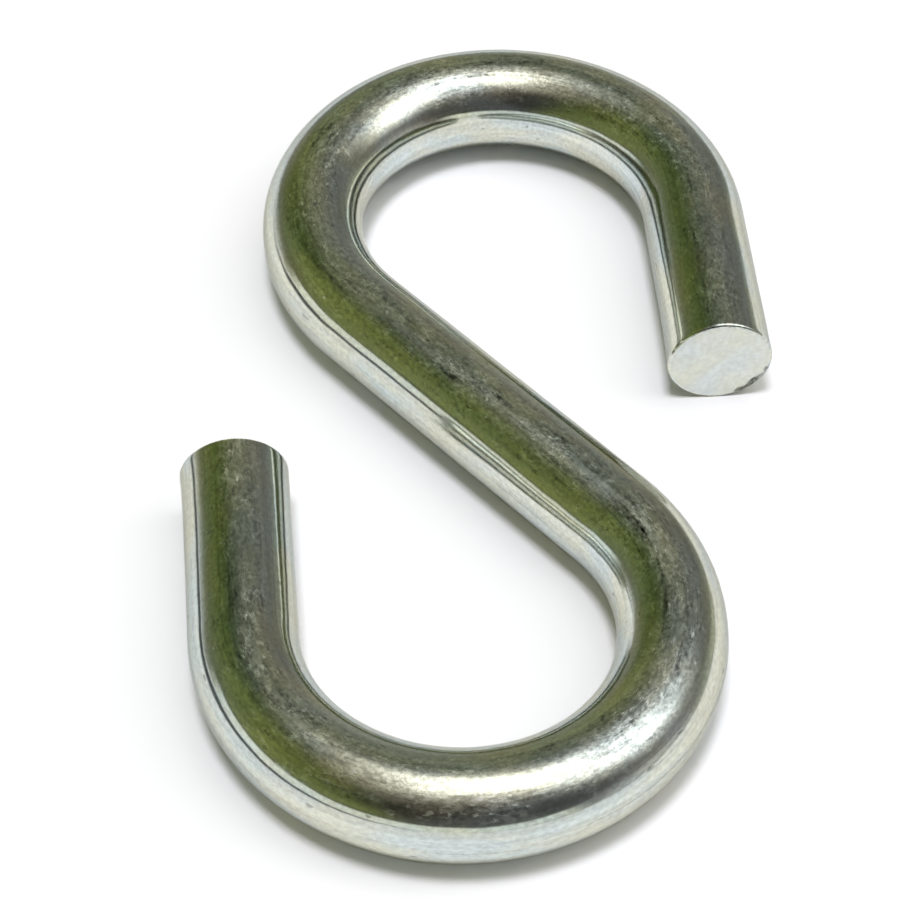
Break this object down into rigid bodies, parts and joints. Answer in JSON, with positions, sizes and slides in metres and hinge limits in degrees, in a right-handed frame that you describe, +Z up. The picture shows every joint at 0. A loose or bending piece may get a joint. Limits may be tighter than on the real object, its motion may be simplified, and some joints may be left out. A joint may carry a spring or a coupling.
{
  "type": "s hook",
  "caption": "Round steel wire bent into an S, with two equal open eyes, straight flared legs and square cut ends, for hanging or joining rings, chain and rope.",
  "frame": {"origin": "on the floor, under the middle of the shank, where the wire's centre line is half its diameter above it", "axes": "+Y along the line through the two eye centres, towards the upper eye; +Z up, square to the plane of the S; the shank runs from upper left to lower right seen from above, so the upper leg is on +X"},
  "size_m": [0.0326, 0.06, 0.006],
  "materials": {
    "zinc_plated_steel": "bright zinc plating, scuffed dull along its upper side, with sheared ends"
  },
  "bodies": {
    "root": {"hook": "zinc_plated_steel"}
  },
  "joints": []
}
